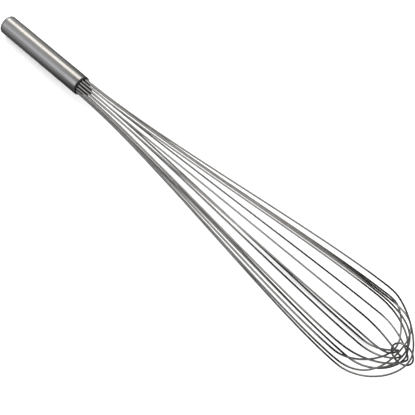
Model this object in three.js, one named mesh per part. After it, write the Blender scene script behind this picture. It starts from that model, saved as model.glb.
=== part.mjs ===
// Large balloon whisk, lying on a table: +Z up, handle toward -X, balloon toward +X, millimetres.
// Eight bent wires run out of a tube handle, swell into a balloon and cross at the tip,
// where one closed ring holds the stacked crowns together.
//
// The pieces are first laid out along the whisk's own axis, with the handle's mouth at zero
// and the tip at positive distances. The finished whisk is then leaned so that the butt and
// the balloon both touch the table.
import * as THREE from 'three';

// ---- driving dimensions ----
const handleDiameter = 28;
const handleLength = 150;
const handleWall = 1.2;
const wireDiameter = 2.4;
const bellyDiameter = 118.4; // over the wires, before each leg's own bulge
const crownDistance = 576; // mouth to the outermost crown
const domeHeight = 69; // widest place to the outermost crown
const ringAngle = 38; // the crown ring's plane, turned about the axis
const rollAngle = 27.75; // turn of the whole whisk about its axis, as it comes to rest

// ---- fits ----
const gap = 0.35; // between pieces that rest on each other
const wirePlay = 0.6; // between the wires and the inside of the handle

// ---- sizes that follow from them ----
const wireRadius = wireDiameter / 2;
const handleRadius = handleDiameter / 2;
const boreRadius = handleRadius - handleWall;
const mouthRadius = boreRadius - wirePlay - wireRadius; // the circle the wires stand on
const bellyRadius = bellyDiameter / 2 - wireRadius;
const bellyDistance = crownDistance - domeHeight; // mouth to the widest place
const crownPitch = wireDiameter + 0.85; // step from one crown down to the next
const grooveRadius = wireRadius + gap;
const plugRadius = mouthRadius + 0.1;

// ---- the eight loops ----
// Level zero is the outermost crown. The loops were bent by hand, so each one is its own:
// slide: how far its crown sits from the axis, along the ring's plane
// twist: how far its crown is turned out of the loop's plane, in degrees
// legs: for each leg, its stray round the belly in degrees, how far it bulges past the mean
// belly, and how full its side of the dome is
const loops = [
  { level: 2, slide: 2, twist: 3, legs: [[-7, -2, 0.6], [-16, 5, 0.6]] },
  { level: 4, slide: -4, twist: 11, legs: [[2.5, -6.5, 0.67], [-16.5, -1.5, 0.69]] },
  { level: 6, slide: -4, twist: 7, legs: [[-1, -2, 0.65], [-29, 5.5, 0.64]] },
  { level: 1, slide: -3.5, twist: -16, legs: [[0, 6, 0.65], [-13.5, 0.5, 0.36]] },
  { level: 7, slide: -4, twist: -14, legs: [[-11, 8, 0.53], [-5, -0.5, 0.38]] },
  { level: 5, slide: 0.5, twist: 0, legs: [[3, -2, 0.63], [-21, -8, 0.63]] },
  { level: 0, slide: -2.5, twist: 2, legs: [[6.5, 5.5, 0.5], [3, -5, 0.38]] },
  { level: 3, slide: 3, twist: -5, legs: [[2, -2.5, 0.55], [10.5, -6, 0.55]] },
];
const ringSlot = 26; // the wider angle between two crowns that the ring stands in
const loopStep = (180 - ringSlot) / (loops.length - 1);
const firstLoopAngle = ringAngle + ringSlot / 2;

// ---- how far along the handle the inner pieces stand ----
const wireInsertion = 60;
const capDepth = 9;
const capEdge = 3; // rounding of the butt's rim
const collarLength = 2;
const plugInside = 30;
const plugNose = 17;
const spacerLength = 8;
const sealLength = 12;

// ---- shape of the wires ----
const legStart = 150; // how strongly a leg leaves parallel to the axis
const legEnd = 110; // how strongly it arrives parallel to the axis
const wireSides = 6;
const wireSteps = 120;
const ringSides = 8;
const ringSteps = 32;
const roundSteps = 40;

// ---- colours ----
const steelColor = 0xc9c6c0;
const satinColor = 0xb4b2ae;
const blackColor = 0x17171a;
const resinColor = 0x8a7a58;

function satinSteel() {
  return new THREE.MeshStandardMaterial({ color: satinColor, roughness: 0.38, metalness: 1 });
}

function polishedWire() {
  return new THREE.MeshStandardMaterial({ color: steelColor, roughness: 0.14, metalness: 1 });
}

function blackNylon() {
  return new THREE.MeshStandardMaterial({ color: blackColor, roughness: 0.55, metalness: 0 });
}

function castResin() {
  return new THREE.MeshStandardMaterial({ color: resinColor, roughness: 0.6, metalness: 0 });
}

// A direction square to the axis, at an angle in degrees.
function across(angle, radius) {
  const turn = THREE.MathUtils.degToRad(angle);
  return new THREE.Vector3(Math.cos(turn) * radius, Math.sin(turn) * radius, 0);
}

function at(side, distance) {
  return new THREE.Vector3(side.x, side.y, distance);
}

// A turned piece about the axis, from [radius, distance] corners.
function turned(corners, steps = roundSteps) {
  const profile = corners.map(([radius, distance]) => new THREE.Vector2(radius, distance));
  return new THREE.LatheGeometry(profile, steps);
}

// Corners of a quarter round from one radius and distance to another.
function quarterRound(centreRadius, centreDistance, size, from, steps) {
  const corners = [];
  for (let step = 0; step <= steps; step += 1) {
    const turn = THREE.MathUtils.degToRad(from + (90 * step) / steps);
    corners.push([
      centreRadius + size * Math.cos(turn),
      centreDistance + size * Math.sin(turn),
    ]);
  }
  return corners;
}

function handleTube() {
  const butt = -handleLength;
  return turned([
    [boreRadius, butt],
    [handleRadius, butt],
    [handleRadius, -0.6],
    [handleRadius - 0.4, 0],
    [boreRadius, 0],
    [boreRadius, butt],
  ]);
}

// A pressed cup: flat butt, rounded rim, and a skirt that plugs into the tube.
function endCap() {
  const seam = -handleLength - gap;
  const outside = seam - 0.8;
  const skirtRadius = boreRadius - gap;
  const skirtEnd = seam + capDepth;
  const inside = skirtRadius - handleWall;
  const floorFace = outside - capEdge + handleWall;
  return turned([
    [0, outside - capEdge],
    ...quarterRound(handleRadius - capEdge, outside, capEdge, -90, 5),
    [handleRadius, seam],
    [skirtRadius, seam],
    [skirtRadius, skirtEnd],
    [inside, skirtEnd],
    [inside, floorFace],
    [0, floorFace],
  ]);
}

function mouthCollar() {
  const inner = mouthRadius + wireRadius + gap;
  const outer = handleRadius - 0.3;
  return turned([
    [inner, gap],
    [outer, gap],
    [outer, collarLength - 0.5],
    [outer - 0.4, collarLength],
    [inner, collarLength],
    [inner, gap],
  ]);
}

// Sides of every wire's leg around the mouth, in order.
function legAngles() {
  const first = loops.map((loop, index) => firstLoopAngle + loopStep * index);
  return [...first, ...first.map((angle) => angle + 180)];
}

// Outline of a core with one groove under each leg, scaled down for the plug's nose.
function groovedOutline(coreRadius, scale) {
  const outline = [];
  for (const angle of legAngles()) {
    const centre = across(angle, mouthRadius);
    for (const swing of [-75, -38, 0, 38, 75]) {
      const point = centre.clone().sub(across(angle - swing, grooveRadius));
      outline.push(point.multiplyScalar(scale));
    }
  }
  return outline.map((point) => {
    const radius = Math.min(point.length(), coreRadius * scale);
    return point.setLength(radius);
  });
}

// A closed solid through a row of outlines, each with the same number of points.
function throughOutlines(stations) {
  const count = stations[0].outline.length;
  const positions = [];
  for (const { outline, distance } of stations) {
    for (const point of outline) {
      positions.push(point.x, point.y, distance);
    }
  }
  const startCentre = positions.length / 3;
  positions.push(0, 0, stations[0].distance);
  const endCentre = startCentre + 1;
  positions.push(0, 0, stations[stations.length - 1].distance);

  const faces = [];
  const lastRow = (stations.length - 1) * count;
  for (let index = 0; index < count; index += 1) {
    const next = (index + 1) % count;
    for (let row = 0; row < lastRow; row += count) {
      faces.push(row + index, row + next, row + count + next);
      faces.push(row + index, row + count + next, row + count + index);
    }
    faces.push(startCentre, next, index);
    faces.push(endCentre, lastRow + index, lastRow + next);
  }
  const solid = new THREE.BufferGeometry();
  solid.setAttribute('position', new THREE.Float32BufferAttribute(positions, 3));
  solid.setIndex(faces);
  solid.computeVertexNormals();
  return solid;
}

// The black core the wires are bedded in, with a blunt cone that shows beyond the mouth.
function mouthPlug() {
  const stations = [
    { outline: groovedOutline(plugRadius, 1), distance: -plugInside },
    { outline: groovedOutline(plugRadius, 1), distance: collarLength },
    { outline: groovedOutline(plugRadius, 0.9), distance: collarLength + plugNose * 0.3 },
    { outline: groovedOutline(plugRadius, 0.66), distance: collarLength + plugNose * 0.7 },
    { outline: groovedOutline(plugRadius, 0.3), distance: collarLength + plugNose },
  ];
  return throughOutlines(stations);
}

// A second grooved disc that keeps the wires' inner ends in their places.
function innerSpacer() {
  const outline = groovedOutline(plugRadius, 1);
  const start = -wireInsertion + 2;
  return throughOutlines([
    { outline, distance: start },
    { outline, distance: start + spacerLength },
  ]);
}

function sealPlug() {
  const end = -wireInsertion - gap;
  const radius = boreRadius - gap;
  return turned([[0, end - sealLength], [radius, end - sealLength], [radius, end], [0, end]]);
}

// One loop: up one side of the balloon, over the tip, down the other side.
function loopPath(loop, angle) {
  const path = new THREE.CurvePath();
  const height = domeHeight - crownPitch * loop.level;
  const crown = at(across(ringAngle, loop.slide), bellyDistance + height);
  const [up, down] = loop.legs.map(([stray, bulge, fullness], index) => {
    const legAngle = angle + 180 * index;
    const mouth = across(legAngle, mouthRadius);
    const belly = across(legAngle + stray, bellyRadius + bulge);
    const fromCrown = across(legAngle + loop.twist, fullness * bellyRadius);
    return {
      inner: at(mouth, -wireInsertion),
      mouth: at(mouth, 0),
      start: at(mouth, legStart),
      swell: at(belly, bellyDistance - legEnd),
      belly: at(belly, bellyDistance),
      rise: at(belly, bellyDistance + fullness * height),
      crownSide: crown.clone().add(fromCrown),
    };
  });
  path.add(new THREE.LineCurve3(up.inner, up.mouth));
  path.add(new THREE.CubicBezierCurve3(up.mouth, up.start, up.swell, up.belly));
  path.add(new THREE.CubicBezierCurve3(up.belly, up.rise, up.crownSide, crown));
  path.add(new THREE.CubicBezierCurve3(crown, down.crownSide, down.rise, down.belly));
  path.add(new THREE.CubicBezierCurve3(down.belly, down.swell, down.start, down.mouth));
  path.add(new THREE.LineCurve3(down.mouth, down.inner));
  return path;
}

function wireSection() {
  const corners = [];
  for (let side = 0; side < wireSides; side += 1) {
    const turn = (2 * Math.PI * side) / wireSides;
    corners.push(new THREE.Vector2(Math.cos(turn) * wireRadius, Math.sin(turn) * wireRadius));
  }
  return new THREE.Shape(corners);
}

function loopWire(loop, index) {
  const angle = firstLoopAngle + loopStep * index;
  return new THREE.ExtrudeGeometry(wireSection(), {
    steps: wireSteps,
    extrudePath: loopPath(loop, angle),
    bevelEnabled: false,
  });
}

// The captive ring: its plane holds the axis, and every crown passes through it.
function crownRing() {
  const stack = crownPitch * (loops.length - 1);
  const ringRadius = stack / 2 + wireDiameter + 1.2;
  const profile = [];
  for (let side = 0; side <= ringSides; side += 1) {
    const turn = (2 * Math.PI * (side % ringSides)) / ringSides;
    profile.push([ringRadius + wireRadius * Math.cos(turn), wireRadius * Math.sin(turn)]);
  }
  const ring = turned(profile, ringSteps);
  ring.rotateZ(THREE.MathUtils.degToRad(ringAngle));
  ring.translate(0, 0, crownDistance - stack / 2);
  return ring;
}

// three.js turns lathe pieces about Y; this lays that axis along the whisk's own axis.
function alongAxis(geometry) {
  return geometry.rotateX(Math.PI / 2);
}

function piece(name, geometry, material) {
  const mesh = new THREE.Mesh(geometry, material);
  mesh.name = name;
  return mesh;
}

function buildWhisk() {
  const whisk = new THREE.Group();
  whisk.add(piece('handle_tube', alongAxis(handleTube()), satinSteel()));
  whisk.add(piece('end_cap', alongAxis(endCap()), satinSteel()));
  whisk.add(piece('mouth_collar', alongAxis(mouthCollar()), blackNylon()));
  whisk.add(piece('mouth_plug', mouthPlug(), blackNylon()));
  whisk.add(piece('inner_spacer', innerSpacer(), blackNylon()));
  whisk.add(piece('seal_plug', alongAxis(sealPlug()), castResin()));
  whisk.add(piece('crown_ring', crownRing(), polishedWire()));
  loops.forEach((loop, index) => {
    whisk.add(piece(`loop_wire_${index + 1}`, loopWire(loop, index), polishedWire()));
  });
  return whisk;
}

// Lays the axis along +X with the whisk rolled, then leans it until the butt and the balloon
// stand at one height, and brings that height to the table.
function layOnTable(whisk) {
  const roll = new THREE.Matrix4().makeRotationZ(THREE.MathUtils.degToRad(rollAngle));
  const lay = new THREE.Matrix4().makeBasis(
    new THREE.Vector3(0, 1, 0),
    new THREE.Vector3(0, 0, 1),
    new THREE.Vector3(1, 0, 0),
  );
  applyToAll(whisk, lay.multiply(roll));
  for (let pass = 0; pass < 4; pass += 1) {
    const butt = lowestPoint(whisk, (point) => point.x < 0);
    const balloon = lowestPoint(whisk, (point) => point.x > 0);
    const lean = Math.atan2(balloon.z - butt.z, balloon.x - butt.x);
    applyToAll(whisk, new THREE.Matrix4().makeRotationY(lean));
  }
  const box = new THREE.Box3().setFromObject(whisk);
  const middle = box.getCenter(new THREE.Vector3());
  applyToAll(whisk, new THREE.Matrix4().makeTranslation(-middle.x, -middle.y, -box.min.z));
}

function applyToAll(whisk, matrix) {
  for (const mesh of whisk.children) {
    mesh.geometry.applyMatrix4(matrix);
  }
}

function lowestPoint(whisk, wanted) {
  const lowest = new THREE.Vector3(0, 0, Infinity);
  const point = new THREE.Vector3();
  for (const mesh of whisk.children) {
    const positions = mesh.geometry.getAttribute('position');
    for (let index = 0; index < positions.count; index += 1) {
      point.fromBufferAttribute(positions, index);
      if (wanted(point) && point.z < lowest.z) {
        lowest.copy(point);
      }
    }
  }
  return lowest;
}

const whisk = buildWhisk();
layOnTable(whisk);
whisk.name = 'balloon_whisk';

export default whisk;
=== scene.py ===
"""Looks of the balloon whisk: smooth wires, satin handle, black mouth seal and a pale studio.

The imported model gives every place. The wires follow the centre lines of their CAD solids, and
the turned pieces are built along the whisk's own axis, with the handle's mouth at zero.
"""
import math

import bpy
import numpy as np
from mathutils import Matrix, Vector


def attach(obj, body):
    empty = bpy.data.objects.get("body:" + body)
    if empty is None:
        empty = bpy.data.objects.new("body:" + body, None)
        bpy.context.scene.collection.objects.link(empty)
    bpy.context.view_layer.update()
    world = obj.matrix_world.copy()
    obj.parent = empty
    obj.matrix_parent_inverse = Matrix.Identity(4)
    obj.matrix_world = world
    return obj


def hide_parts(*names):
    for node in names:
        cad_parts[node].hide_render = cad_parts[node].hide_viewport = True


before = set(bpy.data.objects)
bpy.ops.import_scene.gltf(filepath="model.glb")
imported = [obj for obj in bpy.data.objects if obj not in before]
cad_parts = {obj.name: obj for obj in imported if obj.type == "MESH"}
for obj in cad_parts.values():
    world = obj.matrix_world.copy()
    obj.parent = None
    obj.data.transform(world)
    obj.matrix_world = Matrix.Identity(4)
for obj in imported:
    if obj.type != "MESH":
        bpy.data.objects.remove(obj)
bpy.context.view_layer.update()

# ---- driving sizes in metres ----
WIRE_RADIUS = 0.0012
WIRE_CORNERS = 6  # corners of a CAD wire's section
HANDLE_RADIUS = 0.014
HANDLE_LENGTH = 0.150
HANDLE_WALL = 0.0012
COLLAR_LENGTH = 0.002
PLUG_INSIDE = 0.030
PLUG_NOSE = 0.017
CAP_DEPTH = 0.009
CAP_EDGE = 0.003

# ---- fits ----
GAP = 0.00035
WIRE_PLAY = 0.0006  # between the wires and the inside of the handle

# ---- sizes that follow from them ----
BORE_RADIUS = HANDLE_RADIUS - HANDLE_WALL
MOUTH_RADIUS = BORE_RADIUS - WIRE_PLAY - WIRE_RADIUS  # the circle the wires stand on
GROOVE_RADIUS = WIRE_RADIUS + GAP
PLUG_RADIUS = MOUTH_RADIUS + 0.0001

# ---- how finely the round pieces are cut ----
WIRE_SIDES = 16
WIRE_STEPS = 4  # new stations for each CAD station
TURNED_SIDES = 128
PLUG_SIDES = 320
RING_STATIONS = 96
NOSE_STEPS = 12


# ---- reading the CAD frame ----
def welded(node):
    """A node's separate points, and its faces as rows of point numbers."""
    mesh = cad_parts[node].data
    points = np.zeros(len(mesh.vertices) * 3)
    mesh.vertices.foreach_get("co", points)
    points = points.reshape(-1, 3)
    keys = np.round(points * 1e6).astype(np.int64)
    _, first, number = np.unique(keys, axis=0, return_index=True, return_inverse=True)
    number = number.reshape(-1)
    faces = [[int(number[index]) for index in face.vertices] for face in mesh.polygons]
    return points[first], faces


def whisk_axis():
    """The handle's mouth centre and the direction from the butt to the tip."""
    points, _ = welded("handle_tube")
    centre = points.mean(axis=0)
    direction = np.linalg.svd(points - centre)[2][0]
    direction *= np.sign(direction[0])
    return centre + direction * ((points - centre) @ direction).max(), direction


def centre_line(node):
    """The middle of every section of a CAD wire, from one end to the other."""
    points, faces = welded(node)
    neighbours = [set() for _ in points]
    for face in faces:
        for index in face:
            neighbours[index].update(face)
    along = points @ axis_direction
    end = int(np.argmin(along))
    distance = np.linalg.norm(points - points[end], axis=1)
    section = {int(index) for index in np.argsort(distance)[:WIRE_CORNERS]}
    seen = set(section)
    middles = []
    while section:
        middles.append(points[sorted(section)].mean(axis=0))
        reached = set().union(*(neighbours[index] for index in section))
        section = reached - seen
        seen |= section
    return np.array(middles)


def smoothed(line, steps):
    """A Catmull-Rom curve through the points of a line."""
    padded = np.vstack([2 * line[0] - line[1], line, 2 * line[-1] - line[-2]])
    curve = []
    for start in range(len(line) - 1):
        before, first, second, after = padded[start:start + 4]
        for step in range(steps):
            t = step / steps
            curve.append(0.5 * (
                2 * first
                + (second - before) * t
                + (2 * before - 5 * first + 4 * second - after) * t ** 2
                + (3 * first - before - 3 * second + after) * t ** 3
            ))
    curve.append(line[-1])
    return np.array(curve)


axis_origin, axis_direction = whisk_axis()
side_direction = np.cross(axis_direction, (0.0, 1.0, 0.0))
side_direction /= np.linalg.norm(side_direction)
other_direction = np.cross(axis_direction, side_direction)
whisk_frame = Matrix.Identity(4)
for column, direction in enumerate((side_direction, other_direction, axis_direction)):
    for row in range(3):
        whisk_frame[row][column] = direction[row]
for row in range(3):
    whisk_frame[row][3] = axis_origin[row]


# ---- node helpers ----
def new_material(name, color, metallic, roughness):
    material = bpy.data.materials.new(name)
    material.use_nodes = True
    shader = material.node_tree.nodes["Principled BSDF"]
    shader.inputs["Base Color"].default_value = (*color, 1.0)
    shader.inputs["Metallic"].default_value = metallic
    shader.inputs["Roughness"].default_value = roughness
    return material, shader


def stretched_noise(material, coordinate, stretch, scale, detail=4.0):
    """Noise in a piece's own coordinates, drawn out by a different scale on each axis."""
    nodes = material.node_tree.nodes
    links = material.node_tree.links
    place = nodes.new("ShaderNodeTexCoord")
    mapping = nodes.new("ShaderNodeMapping")
    mapping.inputs["Scale"].default_value = stretch
    noise = nodes.new("ShaderNodeTexNoise")
    noise.inputs["Scale"].default_value = scale
    noise.inputs["Detail"].default_value = detail
    noise.inputs["Roughness"].default_value = 0.6
    links.new(place.outputs[coordinate], mapping.inputs["Vector"])
    links.new(mapping.outputs["Vector"], noise.inputs["Vector"])
    return noise.outputs["Fac"]


def ranged(material, value, low, high, new_low, new_high):
    """A value rescaled from one range to another."""
    node = material.node_tree.nodes.new("ShaderNodeMapRange")
    node.inputs["From Min"].default_value = low
    node.inputs["From Max"].default_value = high
    node.inputs["To Min"].default_value = new_low
    node.inputs["To Max"].default_value = new_high
    material.node_tree.links.new(value, node.inputs["Value"])
    return node.outputs["Result"]


def shaded(material, value, low_color, high_color, low=0.35, high=0.65):
    """A colour between two, by a value."""
    ramp = material.node_tree.nodes.new("ShaderNodeValToRGB")
    ramp.color_ramp.elements[0].position = low
    ramp.color_ramp.elements[0].color = (*low_color, 1.0)
    ramp.color_ramp.elements[1].position = high
    ramp.color_ramp.elements[1].color = (*high_color, 1.0)
    material.node_tree.links.new(value, ramp.inputs["Fac"])
    return ramp.outputs["Color"]


def bumped(material, value, distance, strength=1.0, under=None):
    """A bump from a height, on top of another bump if one is given."""
    node = material.node_tree.nodes.new("ShaderNodeBump")
    node.inputs["Strength"].default_value = strength
    node.inputs["Distance"].default_value = distance
    material.node_tree.links.new(value, node.inputs["Height"])
    if under is not None:
        material.node_tree.links.new(under, node.inputs["Normal"])
    return node.outputs["Normal"]


# ---- materials ----
def satin_tube():
    """Satin stainless tube: fine lines along it, soft patches from handling, a few scuffs."""
    material, shader = new_material("satin_tube", (0.62, 0.61, 0.60), 1.0, 0.22)
    links = material.node_tree.links
    lines = stretched_noise(material, "Object", (1.0, 1.0, 0.02), 9000.0, 3.0)
    patches = stretched_noise(material, "Object", (1.0, 1.0, 0.35), 70.0)
    scuffs = stretched_noise(material, "Object", (1.0, 1.0, 0.12), 900.0, 6.0)
    color = shaded(material, patches, (0.60, 0.59, 0.58), (0.655, 0.65, 0.64))
    links.new(color, shader.inputs["Base Color"])
    roughness = ranged(material, patches, 0.3, 0.7, 0.17, 0.26)
    links.new(roughness, shader.inputs["Roughness"])
    scuff_height = ranged(material, scuffs, 0.62, 0.72, 0.0, -1.0)
    scuff_bump = bumped(material, scuff_height, 0.000004, 0.5)
    links.new(bumped(material, lines, 0.000002, 0.6, scuff_bump), shader.inputs["Normal"])
    return material


def spun_cap():
    """Satin cap with faint circles from spinning."""
    material, shader = new_material("spun_cap", (0.60, 0.59, 0.58), 1.0, 0.26)
    tree = material.node_tree
    place = tree.nodes.new("ShaderNodeTexCoord")
    circles = tree.nodes.new("ShaderNodeTexWave")
    circles.wave_type = "RINGS"
    circles.rings_direction = "Z"
    circles.inputs["Scale"].default_value = 900.0
    circles.inputs["Distortion"].default_value = 1.5
    circles.inputs["Detail"].default_value = 3.0
    tree.links.new(place.outputs["Object"], circles.inputs["Vector"])
    patches = stretched_noise(material, "Object", (1.0, 1.0, 1.0), 160.0)
    tree.links.new(ranged(material, patches, 0.3, 0.7, 0.20, 0.32), shader.inputs["Roughness"])
    tree.links.new(bumped(material, circles.outputs["Fac"], 0.000003, 0.5), shader.inputs["Normal"])
    return material


def drawn_wire_painted_shade():
    """Bright drawn wire: die lines along it, slightly dull stretches, small dents. Its colour sits
    below the tube's steel as painted shade for the wires' darker reflections.
    """
    # painted shade: the base colour and the tone range below are set darker than the tube's steel
    material, shader = new_material("drawn_wire_painted_shade", (0.50, 0.49, 0.48), 1.0, 0.12)
    links = material.node_tree.links
    lines = stretched_noise(material, "UV", (6.0, 24.0, 1.0), 1.0, 3.0)
    stretches = stretched_noise(material, "UV", (14.0, 0.5, 1.0), 1.0, 5.0)
    dents = stretched_noise(material, "UV", (150.0, 3.0, 1.0), 1.0, 2.0)
    color = shaded(material, stretches, (0.44, 0.43, 0.42), (0.56, 0.55, 0.54))
    links.new(color, shader.inputs["Base Color"])
    roughness = ranged(material, stretches, 0.3, 0.7, 0.08, 0.19)
    links.new(roughness, shader.inputs["Roughness"])
    dent_bump = bumped(material, dents, 0.00002, 0.25)
    links.new(bumped(material, lines, 0.000006, 0.35, dent_bump), shader.inputs["Normal"])
    return material


def black_nylon():
    """Moulded black nylon: fine mould texture, flour-grey dust in the low places."""
    material, shader = new_material("black_nylon", (0.012, 0.012, 0.014), 0.0, 0.5)
    links = material.node_tree.links
    grain = stretched_noise(material, "Object", (1.0, 1.0, 1.0), 2600.0, 5.0)
    dust = stretched_noise(material, "Object", (1.0, 1.0, 1.0), 320.0, 6.0)
    color = shaded(material, dust, (0.010, 0.010, 0.012), (0.032, 0.031, 0.030), 0.45, 0.75)
    links.new(color, shader.inputs["Base Color"])
    links.new(ranged(material, dust, 0.3, 0.7, 0.42, 0.66), shader.inputs["Roughness"])
    links.new(bumped(material, grain, 0.00002, 0.4), shader.inputs["Normal"])
    return material


def cast_resin():
    """Amber casting resin with clouding and pinholes."""
    material, shader = new_material("cast_resin", (0.36, 0.25, 0.11), 0.0, 0.45)
    links = material.node_tree.links
    clouds = stretched_noise(material, "Object", (1.0, 1.0, 1.0), 240.0, 5.0)
    holes = stretched_noise(material, "Object", (1.0, 1.0, 1.0), 1500.0, 2.0)
    color = shaded(material, clouds, (0.30, 0.20, 0.085), (0.44, 0.32, 0.16))
    links.new(color, shader.inputs["Base Color"])
    links.new(ranged(material, clouds, 0.3, 0.7, 0.35, 0.6), shader.inputs["Roughness"])
    hole_height = ranged(material, holes, 0.66, 0.74, 0.0, -1.0)
    links.new(bumped(material, hole_height, 0.0001, 0.6), shader.inputs["Normal"])
    return material


def pale_floor():
    """Dull off-white floor with a very faint grain and no shine."""
    material, shader = new_material("pale_floor", (0.90, 0.90, 0.90), 0.0, 0.9)
    grain = stretched_noise(material, "Object", (1.0, 1.0, 1.0), 30.0)
    color = shaded(material, grain, (0.895, 0.895, 0.895), (0.905, 0.905, 0.905))
    material.node_tree.links.new(color, shader.inputs["Base Color"])
    shader.inputs["Specular IOR Level"].default_value = 0.0
    return material


# ---- making meshes ----
def make_piece(name, points, faces, material, uv=None):
    """A smooth-shaded mesh in the scene, with a texture map if one is given."""
    mesh = bpy.data.meshes.new(name)
    mesh.from_pydata([tuple(point) for point in points], [], faces)
    mesh.materials.append(material)
    mesh.polygons.foreach_set("use_smooth", [True] * len(mesh.polygons))
    if uv is not None:
        layer = mesh.uv_layers.new(name="along_and_round")
        layer.data.foreach_set("uv", np.asarray(uv, dtype=float).reshape(-1))
    mesh.update()
    thing = bpy.data.objects.new(name, mesh)
    bpy.context.scene.collection.objects.link(thing)
    return thing


def finish_piece(thing, slot, *nodes):
    """Fastens a piece to the frame in place of its CAD nodes."""
    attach(thing, "root")
    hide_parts(*nodes)


def sharp_edges(thing, degrees):
    """Smooth shading, broken where two faces meet at more than an angle."""
    limit = math.radians(degrees)
    mesh = thing.data
    normals = [face.normal.copy() for face in mesh.polygons]
    beside = {}
    for face in mesh.polygons:
        for key in face.edge_keys:
            beside.setdefault(key, []).append(face.index)
    for edge in mesh.edges:
        pair = beside.get(tuple(sorted(edge.vertices)), [])
        if len(pair) == 2:
            edge.use_edge_sharp = normals[pair[0]].angle(normals[pair[1]], 0.0) > limit


def arc(radius, distance, size, start, end, steps=10):
    """[radius, distance] corners round a small circle, from one angle to another in degrees."""
    corners = []
    for step in range(steps + 1):
        turn = math.radians(start + (end - start) * step / steps)
        corners.append((radius + size * math.cos(turn), distance + size * math.sin(turn)))
    return corners


def ring_faces(row_count, sides, closed=False):
    """Four-sided faces between neighbouring rows of points, each row a ring."""
    faces = []
    for row in range(row_count if closed else row_count - 1):
        here = row * sides
        there = ((row + 1) % row_count) * sides
        for side in range(sides):
            beyond = (side + 1) % sides
            faces.append((here + side, here + beyond, there + beyond, there + side))
    return faces


def close_ends(points, faces, row_count, sides, distances):
    """Closes the first and the last row with fans round two points on the axis."""
    for row, distance in zip((0, row_count - 1), distances):
        points.append((0.0, 0.0, distance))
        centre = len(points) - 1
        for side in range(sides):
            edge = (row * sides + side, row * sides + (side + 1) % sides)
            faces.append((*edge[::-1], centre) if row == 0 else (*edge, centre))


def turned(name, corners, material, closed=False):
    """A turned piece along the whisk's axis. An open profile starts and ends on the axis."""
    rows = [corner for corner in corners if corner[0] > 1e-9]
    points = []
    for radius, distance in rows:
        for side in range(TURNED_SIDES):
            turn = 2 * math.pi * side / TURNED_SIDES
            points.append((radius * math.cos(turn), radius * math.sin(turn), distance))
    faces = ring_faces(len(rows), TURNED_SIDES, closed)
    if not closed:
        close_ends(points, faces, len(rows), TURNED_SIDES, (corners[0][1], corners[-1][1]))
    thing = make_piece(name, points, faces, material)
    thing.matrix_world = whisk_frame
    sharp_edges(thing, 40.0)
    return thing


# ---- handle ----
def handle_tube(material):
    """The plain tube, with both edges of its mouth rounded."""
    butt = -HANDLE_LENGTH
    edge = 0.0005
    profile = [
        (BORE_RADIUS, butt),
        (HANDLE_RADIUS - 0.0002, butt),
        (HANDLE_RADIUS, butt + 0.0002),
        (HANDLE_RADIUS, -0.1),
        (HANDLE_RADIUS, -0.05),
        *arc(HANDLE_RADIUS - edge, -edge, edge, 0.0, 90.0),
        *arc(BORE_RADIUS + edge / 2, -edge / 2, edge / 2, 90.0, 180.0),
    ]
    thing = turned("handle_tube_satin", profile, material, closed=True)
    finish_piece(thing, "handle_steel", "handle_tube")


def end_cap(material):
    """The pressed cup in the butt, with a shallow pressed ring and a fine bead at the joint."""
    seam = -HANDLE_LENGTH - GAP
    outside = seam - 0.0008
    face = outside - CAP_EDGE
    skirt = BORE_RADIUS - GAP
    inside = skirt - 0.0012
    ring = 0.0085
    profile = [
        (0.0, face + 0.00025),
        (ring - 0.0012, face + 0.00025),
        (ring - 0.0004, face + 0.00018),
        (ring, face + 0.00005),
        (ring + 0.0006, face),
        *arc(HANDLE_RADIUS - CAP_EDGE, outside, CAP_EDGE, -90.0, 0.0, 16),
        (HANDLE_RADIUS, seam - 0.0002),
        (HANDLE_RADIUS - 0.0002, seam),
        (skirt, seam),
        (skirt, seam + CAP_DEPTH),
        (inside, seam + CAP_DEPTH),
        (inside, face + 0.0012),
        (0.0, face + 0.0012),
    ]
    thing = turned("end_cap_pressed", profile, material)
    finish_piece(thing, "handle_steel", "end_cap")


# ---- mouth ----
def mouth_collar(material):
    """The black ring round the wires at the mouth."""
    inner = MOUTH_RADIUS + WIRE_RADIUS + GAP
    outer = HANDLE_RADIUS - 0.0003
    edge = 0.0005
    profile = [
        (inner, GAP),
        (outer, GAP),
        *arc(outer - edge, COLLAR_LENGTH - edge, edge, 0.0, 90.0),
        *arc(inner + edge / 2, COLLAR_LENGTH - edge / 2, edge / 2, 90.0, 180.0),
    ]
    thing = turned("mouth_collar_black", profile, material, closed=True)
    finish_piece(thing, "black_nylon", "mouth_collar")


def leg_angles(lines):
    """The angles round the axis, in radians, at which the legs leave the mouth."""
    to_whisk = whisk_frame.inverted()
    angles = []
    for line in lines:
        for end in (line[0], line[-1]):
            place = to_whisk @ Vector(end)
            angles.append(math.atan2(place.y, place.x))
    return angles


def fluted_radius(turn, angles):
    """How far the plug reaches at an angle, with a groove under every leg."""
    reach = PLUG_RADIUS
    for angle in angles:
        off = math.atan2(math.sin(turn - angle), math.cos(turn - angle))
        across = GROOVE_RADIUS ** 2 - (MOUTH_RADIUS * math.sin(off)) ** 2
        if across > 0.0 and abs(off) < 1.0:
            reach = min(reach, MOUTH_RADIUS * math.cos(off) - math.sqrt(across))
    return reach


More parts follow.
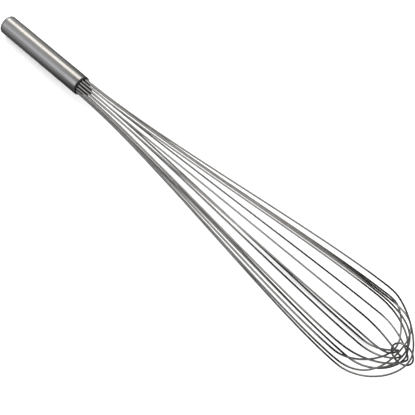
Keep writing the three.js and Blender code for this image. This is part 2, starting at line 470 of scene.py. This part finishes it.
def mouth_plug(angles, material):
    """The black core the wires are bedded in. Its nose is a blunt cone with fading flutes."""
    start = -PLUG_INSIDE
    bevel = 0.0003
    nose_base = 0.985
    nose_tip = 0.3
    bluntness = 1.35
    rows = [(start, 0.97), (start + bevel, 1.0), (0.0, 1.0), (COLLAR_LENGTH - 0.0004, 1.0)]
    for step in range(NOSE_STEPS + 1):
        share = step / NOSE_STEPS
        scale = nose_base - (nose_base - nose_tip) * share ** bluntness
        rows.append((COLLAR_LENGTH + PLUG_NOSE * share, scale))
    turns = [2 * math.pi * side / PLUG_SIDES for side in range(PLUG_SIDES)]
    outline = [fluted_radius(turn, angles) for turn in turns]
    points = []
    for distance, scale in rows:
        for turn, reach in zip(turns, outline):
            radius = reach * scale
            points.append((radius * math.cos(turn), radius * math.sin(turn), distance))
    faces = ring_faces(len(rows), PLUG_SIDES)
    close_ends(points, faces, len(rows), PLUG_SIDES, (rows[0][0], rows[-1][0]))
    thing = make_piece("mouth_plug_black", points, faces, material)
    thing.matrix_world = whisk_frame
    sharp_edges(thing, 35.0)
    finish_piece(thing, "black_nylon", "mouth_plug")


# ---- wires ----
def swept(name, line, radii, material, closed=False):
    """A round bar along a line. Its texture runs in metres along and in turns round."""
    count = len(line)
    if closed:
        ahead = np.roll(line, -1, axis=0) - np.roll(line, 1, axis=0)
    else:
        ahead = np.gradient(line, axis=0)
    ahead /= np.linalg.norm(ahead, axis=1)[:, None]
    side = np.cross(ahead[0], (0.3, 0.5, 0.8))
    points = []
    for station in range(count):
        side = side - ahead[station] * (side @ ahead[station])
        side /= np.linalg.norm(side)
        other = np.cross(ahead[station], side)
        for corner in range(WIRE_SIDES):
            turn = 2 * math.pi * corner / WIRE_SIDES
            reach = radii[station]
            points.append(line[station] + reach * (math.cos(turn) * side + math.sin(turn) * other))
    lengths = np.linalg.norm(np.diff(line, axis=0, append=line[:1]), axis=1)
    travelled = np.concatenate([[0.0], np.cumsum(lengths)])
    faces = ring_faces(count, WIRE_SIDES, closed)
    uv = []
    for station in range(count if closed else count - 1):
        start, end = travelled[station], travelled[station + 1]
        for corner in range(WIRE_SIDES):
            low, high = corner / WIRE_SIDES, (corner + 1) / WIRE_SIDES
            uv += [(start, low), (start, high), (end, high), (end, low)]
    if not closed:
        faces.append(tuple(range(WIRE_SIDES))[::-1])
        faces.append(tuple(range((count - 1) * WIRE_SIDES, count * WIRE_SIDES)))
        uv += [(0.0, corner / WIRE_SIDES) for corner in range(2 * WIRE_SIDES)]
    return make_piece(name, points, faces, material, uv)


def loop_wire(number, line, material):
    """One bent wire, along the smoothed middle of its CAD solid."""
    path = smoothed(line, WIRE_STEPS)
    radii = np.full(len(path), WIRE_RADIUS)
    thing = swept(f"loop_wire_{number}_drawn", path, radii, material)
    sharp_edges(thing, 60.0)
    finish_piece(thing, "wire_steel", f"loop_wire_{number}")


def crown_ring(material):
    """The ring bent from the same wire, with a dressed butt weld as a slight swelling."""
    points, _ = welded("crown_ring")
    centre = points.mean(axis=0)
    _, _, directions = np.linalg.svd(points - centre)
    first, second, normal = directions
    flat = np.hypot((points - centre) @ first, (points - centre) @ second)
    radius = (flat.max() + flat.min()) / 2
    turns = np.linspace(0.0, 2 * math.pi, RING_STATIONS, endpoint=False)
    line = np.array([
        centre + radius * (math.cos(turn) * first + math.sin(turn) * second) for turn in turns
    ])
    weld = np.exp(-((turns - 2.2) / 0.055) ** 2)
    radii = WIRE_RADIUS * (1.0 + 0.09 * weld)
    thing = swept("crown_ring_drawn", line, radii, material, closed=True)
    finish_piece(thing, "wire_steel", "crown_ring")


# ---- studio ----
PANEL_LENGTH = 0.70  # along the whisk


def floor(material):
    """A wide level floor that shows in no reflection."""
    half = 6.0
    corners = [(-half, -half, 0.0), (half, -half, 0.0), (half, half, 0.0), (-half, half, 0.0)]
    thing = make_piece("studio_floor", corners, [(0, 1, 2, 3)], material)
    thing.visible_glossy = False


def soft_box(name, toward, distance, height, radiance, color, middle):
    """A rectangle of light that faces a middle point from a direction."""
    light = bpy.data.lights.new(name, "AREA")
    light.shape = "RECTANGLE"
    light.size = PANEL_LENGTH
    light.size_y = height
    light.color = color
    light.energy = radiance * math.pi * PANEL_LENGTH * height
    thing = bpy.data.objects.new(name, light)
    direction = Vector(toward).normalized()
    thing.location = Vector(middle) + direction * distance
    thing.rotation_euler = direction.to_track_quat("Z", "Y").to_euler()
    bpy.context.scene.collection.objects.link(thing)


def overhead_wash(strength):
    """A broad soft light from above that lights the floor and shows in no reflection."""
    light = bpy.data.lights.new("overhead_wash", "SUN")
    light.energy = strength
    light.angle = math.radians(160.0)
    thing = bpy.data.objects.new("overhead_wash", light)
    thing.visible_glossy = False
    bpy.context.scene.collection.objects.link(thing)


def room(end_glow, middle_glow, floor_share):
    """A plain room, bright at the two ends of the whisk, dimmer between them and underfoot."""
    world = bpy.data.worlds.new("studio_room")
    bpy.context.scene.world = world
    world.use_nodes = True
    tree = world.node_tree
    place = tree.nodes.new("ShaderNodeTexCoord")
    split = tree.nodes.new("ShaderNodeSeparateXYZ")
    tree.links.new(place.outputs["Generated"], split.inputs["Vector"])
    lengthwise = tree.nodes.new("ShaderNodeMapRange")
    lengthwise.inputs["From Min"].default_value = -1.0
    tree.links.new(split.outputs["X"], lengthwise.inputs["Value"])
    glow = tree.nodes.new("ShaderNodeValToRGB")
    stops = ((0.20, end_glow), (0.30, middle_glow), (0.55, middle_glow), (0.75, end_glow))
    elements = glow.color_ramp.elements
    while len(elements) < len(stops):
        elements.new(0.5)
    for element, (position, level) in zip(elements, stops):
        element.position = position
        element.color = (level, level, level, 1.0)
    tree.links.new(lengthwise.outputs["Result"], glow.inputs["Fac"])
    height = tree.nodes.new("ShaderNodeMapRange")
    height.inputs["From Min"].default_value = -0.25
    height.inputs["From Max"].default_value = 0.10
    height.inputs["To Min"].default_value = floor_share
    tree.links.new(split.outputs["Z"], height.inputs["Value"])
    tree.links.new(glow.outputs["Color"], tree.nodes["Background"].inputs["Color"])
    tree.links.new(height.outputs["Result"], tree.nodes["Background"].inputs["Strength"])


def camera(azimuth, elevation, roll, distance, lens, target):
    """A camera that looks at a target from an angle round the upright axis and an elevation.

    Roll turns it about its own line of sight.
    """
    turn = math.radians(azimuth)
    rise = math.radians(elevation)
    back = Vector((
        math.sin(turn) * math.cos(rise),
        -math.cos(turn) * math.cos(rise),
        math.sin(rise),
    ))
    level = Vector((math.cos(turn), math.sin(turn), 0.0))
    right = Matrix.Rotation(math.radians(roll), 3, back) @ level
    up = back.cross(right)
    data = bpy.data.cameras.new("view")
    data.lens = lens
    data.sensor_width = 36.0
    thing = bpy.data.objects.new("view", data)
    thing.matrix_world = Matrix((
        (right.x, up.x, back.x, target[0] + back.x * distance),
        (right.y, up.y, back.y, target[1] + back.y * distance),
        (right.z, up.z, back.z, target[2] + back.z * distance),
        (0.0, 0.0, 0.0, 1.0),
    ))
    bpy.context.scene.collection.objects.link(thing)
    bpy.context.scene.camera = thing


# ---- putting it together ----
tube_steel = satin_tube()
cap_steel = spun_cap()
wire_steel = drawn_wire_painted_shade()
nylon = black_nylon()
resin = cast_resin()

handle_tube(tube_steel)
end_cap(cap_steel)
mouth_collar(nylon)
wire_lines = [centre_line(f"loop_wire_{number}") for number in range(1, 9)]
mouth_plug(leg_angles(wire_lines), nylon)
for number, line in enumerate(wire_lines, start=1):
    loop_wire(number, line, wire_steel)
crown_ring(wire_steel)
for hidden, material in (("inner_spacer", nylon), ("seal_plug", resin)):
    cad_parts[hidden].data.materials.clear()
    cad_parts[hidden].data.materials.append(material)

floor(pale_floor())
overhead_wash(strength=4.4)
beyond_butt = (-1.10, 0.0, 0.02)  # where the handle's reflections fall
beside_throat = (-0.40, 0.0, 0.02)  # where those of the wires near the mouth fall
soft_box("tent_top", (0.0, 0.0, 1.0), 1.0, 1.20, 0.12, (1.0, 0.99, 0.98), beyond_butt)
soft_box("tent_left", (0.0, 1.0, 0.10), 1.0, 1.20, 0.10, (1.0, 0.98, 0.96), beyond_butt)
soft_box("tent_right", (0.0, -1.0, 0.10), 1.0, 1.20, 0.08, (0.94, 0.96, 1.0), beyond_butt)
soft_box("window_left", (0.0, 0.61, 0.79), 0.95, 0.58, 1.25, (1.0, 0.96, 0.89), beyond_butt)
soft_box("window_right", (0.0, -0.72, 0.69), 0.95, 0.56, 0.36, (0.82, 0.86, 1.0), beyond_butt)
soft_box("throat_left", (0.0, 0.61, 0.79), 0.95, 0.80, 1.1, (1.0, 0.96, 0.91), beside_throat)
soft_box("throat_right", (0.0, -0.70, 0.71), 0.95, 0.80, 0.7, (0.95, 0.96, 1.0), beside_throat)
room(end_glow=0.36, middle_glow=0.08, floor_share=0.5)
bpy.context.scene.view_settings.view_transform = "Standard"
camera(
    azimuth=42.4994,
    elevation=65.4003,
    roll=1.879,
    distance=1.43974,
    lens=97.188,
    target=(0.0427698, -0.0120103, 0.040),
)
